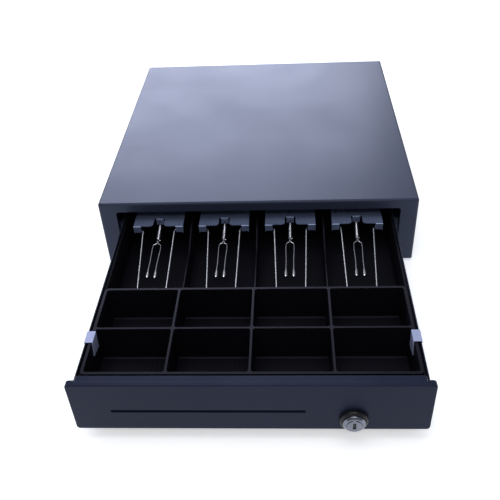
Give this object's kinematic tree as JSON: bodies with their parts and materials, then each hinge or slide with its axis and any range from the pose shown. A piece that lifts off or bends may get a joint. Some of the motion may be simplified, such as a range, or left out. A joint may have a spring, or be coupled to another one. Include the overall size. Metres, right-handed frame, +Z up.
{
  "type": "cash drawer",
  "caption": "Steel cash drawer with its till pulled out: bill bays with sprung wire clips, lift-out coin cups, a cam lock and a cheque slot in the front, and a release latch behind.",
  "frame": {"origin": "on the counter under the middle of the open drawer's footprint", "axes": "+X to the right seen from the front, +Y from the front to the back, +Z up; the drawer opens towards -Y"},
  "size_m": [0.41, 0.7266, 0.1],
  "materials": {
    "housing_paint": "satin dark blue-grey powder coat",
    "drawer_paint": "satin dark blue-grey powder coat",
    "panel_plastic": "dark blue-grey, slightly glossy moulding",
    "till_plastic": "fine-textured black moulding",
    "zinc_steel": "zinc-plated sheet",
    "bracket_steel": "nickel-plated pressed sheet",
    "wire_steel": "bright nickel-plated wire",
    "lock_chrome": "polished chrome",
    "lock_black": "black moulding",
    "spring_steel": "oiled spring steel",
    "coil_tape": "varnished coil tape",
    "nylon": "natural nylon",
    "rubber": "matt black rubber",
    "socket_black": "black moulding"
  },
  "bodies": {
    "housing": {"housing_cover": "housing_paint", "base_plate": "zinc_steel", "rear_panel": "housing_paint", "rear_screws": "zinc_steel", "foot_screws": "zinc_steel", "rail_screws": "zinc_steel", "foot_front_left": "rubber", "foot_front_right": "rubber", "foot_rear_left": "rubber", "foot_rear_right": "rubber", "housing_rail_left": "zinc_steel", "housing_rail_right": "zinc_steel", "lock_keeper": "zinc_steel", "latch_pivot": "zinc_steel", "latch_platform": "zinc_steel", "solenoid_frame": "zinc_steel", "solenoid_coil": "coil_tape", "ejector_guide": "zinc_steel", "ejector_spring": "spring_steel", "rear_socket": "socket_black"},
    "drawer": {"drawer_box": "drawer_paint", "front_panel": "panel_plastic", "money_till": "till_plastic", "bill_dividers": "till_plastic", "coin_tray": "till_plastic", "bracket_rivets": "bracket_steel", "lock_bezel": "lock_black", "lock_body": "lock_chrome", "lock_nut": "zinc_steel", "strike": "zinc_steel", "drawer_runner_left": "zinc_steel", "drawer_runner_right": "zinc_steel", "tray_clip_left": "zinc_steel", "tray_clip_right": "zinc_steel", "bill_bracket_1": "bracket_steel", "bill_bracket_2": "bracket_steel", "bill_bracket_3": "bracket_steel", "bill_bracket_4": "bracket_steel"},
    "front_roller_left": {"front_roller_left": "nylon"},
    "rear_roller_left": {"rear_roller_left": "nylon"},
    "front_roller_right": {"front_roller_right": "nylon"},
    "rear_roller_right": {"rear_roller_right": "nylon"},
    "lock": {"lock_plug": "lock_chrome", "lock_cam": "zinc_steel", "cam_screw": "zinc_steel"},
    "bail_1": {"bill_bail_1": "wire_steel"},
    "fork_1": {"bill_spring_1": "wire_steel", "bill_fork_1": "wire_steel"},
    "bail_2": {"bill_bail_2": "wire_steel"},
    "fork_2": {"bill_spring_2": "wire_steel", "bill_fork_2": "wire_steel"},
    "bail_3": {"bill_bail_3": "wire_steel"},
    "fork_3": {"bill_spring_3": "wire_steel", "bill_fork_3": "wire_steel"},
    "bail_4": {"bill_bail_4": "wire_steel"},
    "fork_4": {"bill_spring_4": "wire_steel", "bill_fork_4": "wire_steel"},
    "latch": {"latch_lever": "zinc_steel", "latch_spring": "spring_steel"},
    "plunger": {"solenoid_plunger": "zinc_steel"}
  },
  "joints": [
    {"name": "drawer_slide", "type": "slide", "parent": "housing", "child": "drawer", "axis": [0, -1, 0], "range_m": [-0.285, 0]},
    {"name": "front_roller_left_spin", "type": "hinge", "parent": "housing", "child": "front_roller_left", "pos_m": [-0.1825, -0.0443, 0.0342], "axis": [1, 0, 0], "range_deg": [-2045, 0]},
    {"name": "rear_roller_left_spin", "type": "hinge", "parent": "drawer", "child": "rear_roller_left", "pos_m": [-0.1825, 0.0297, 0.0377], "axis": [1, 0, 0], "range_deg": [0, 2045]},
    {"name": "front_roller_right_spin", "type": "hinge", "parent": "housing", "child": "front_roller_right", "pos_m": [0.1825, -0.0443, 0.0342], "axis": [1, 0, 0], "range_deg": [-2045, 0]},
    {"name": "rear_roller_right_spin", "type": "hinge", "parent": "drawer", "child": "rear_roller_right", "pos_m": [0.1825, 0.0297, 0.0377], "axis": [1, 0, 0], "range_deg": [0, 2045]},
    {"name": "lock_turn", "type": "hinge", "parent": "drawer", "child": "lock", "pos_m": [0.1025, -0.3533, 0.035], "axis": [0, 1, 0], "range_deg": [-45, 90]},
    {"name": "bail_1_lift", "type": "hinge", "parent": "drawer", "child": "bail_1", "pos_m": [-0.12795, -0.0773, 0.065], "axis": [-1, 0, 0], "range_deg": [0, 80]},
    {"name": "fork_1_lift", "type": "hinge", "parent": "drawer", "child": "fork_1", "pos_m": [-0.12795, -0.0628, 0.0634], "axis": [-1, 0, 0], "range_deg": [0, 60], "stiffness_Nm_per_rad": 0.01, "springref_deg": -28.65},
    {"name": "bail_2_lift", "type": "hinge", "parent": "drawer", "child": "bail_2", "pos_m": [-0.04265, -0.0773, 0.065], "axis": [-1, 0, 0], "range_deg": [0, 80]},
    {"name": "fork_2_lift", "type": "hinge", "parent": "drawer", "child": "fork_2", "pos_m": [-0.04265, -0.0628, 0.0634], "axis": [-1, 0, 0], "range_deg": [0, 60], "stiffness_Nm_per_rad": 0.01, "springref_deg": -28.65},
    {"name": "bail_3_lift", "type": "hinge", "parent": "drawer", "child": "bail_3", "pos_m": [0.04265, -0.0773, 0.065], "axis": [-1, 0, 0], "range_deg": [0, 80]},
    {"name": "fork_3_lift", "type": "hinge", "parent": "drawer", "child": "fork_3", "pos_m": [0.04265, -0.0628, 0.0634], "axis": [-1, 0, 0], "range_deg": [0, 60], "stiffness_Nm_per_rad": 0.01, "springref_deg": -28.65},
    {"name": "bail_4_lift", "type": "hinge", "parent": "drawer", "child": "bail_4", "pos_m": [0.12795, -0.0773, 0.065], "axis": [-1, 0, 0], "range_deg": [0, 80]},
    {"name": "fork_4_lift", "type": "hinge", "parent": "drawer", "child": "fork_4", "pos_m": [0.12795, -0.0628, 0.0634], "axis": [-1, 0, 0], "range_deg": [0, 60], "stiffness_Nm_per_rad": 0.01, "springref_deg": -28.65},
    {"name": "latch_swing", "type": "hinge", "parent": "housing", "child": "latch", "pos_m": [-0.01, 0.3217, 0.03], "axis": [0, 0, -1], "range_deg": [0, 16], "stiffness_Nm_per_rad": 0.02, "springref_deg": -17.19},
    {"name": "plunger_pull", "type": "slide", "parent": "housing", "child": "plunger", "axis": [1, 0, 0], "range_m": [0, 0.0051]}
  ],
  "couplings": [
    {"joint": "front_roller_left_spin", "follows": "drawer_slide", "rad_per_m": 125},
    {"joint": "rear_roller_left_spin", "follows": "drawer_slide", "rad_per_m": -125},
    {"joint": "front_roller_right_spin", "follows": "drawer_slide", "rad_per_m": 125},
    {"joint": "rear_roller_right_spin", "follows": "drawer_slide", "rad_per_m": -125},
    {"joint": "plunger_pull", "follows": "latch_swing", "m_per_rad": 0.018}
  ]
}
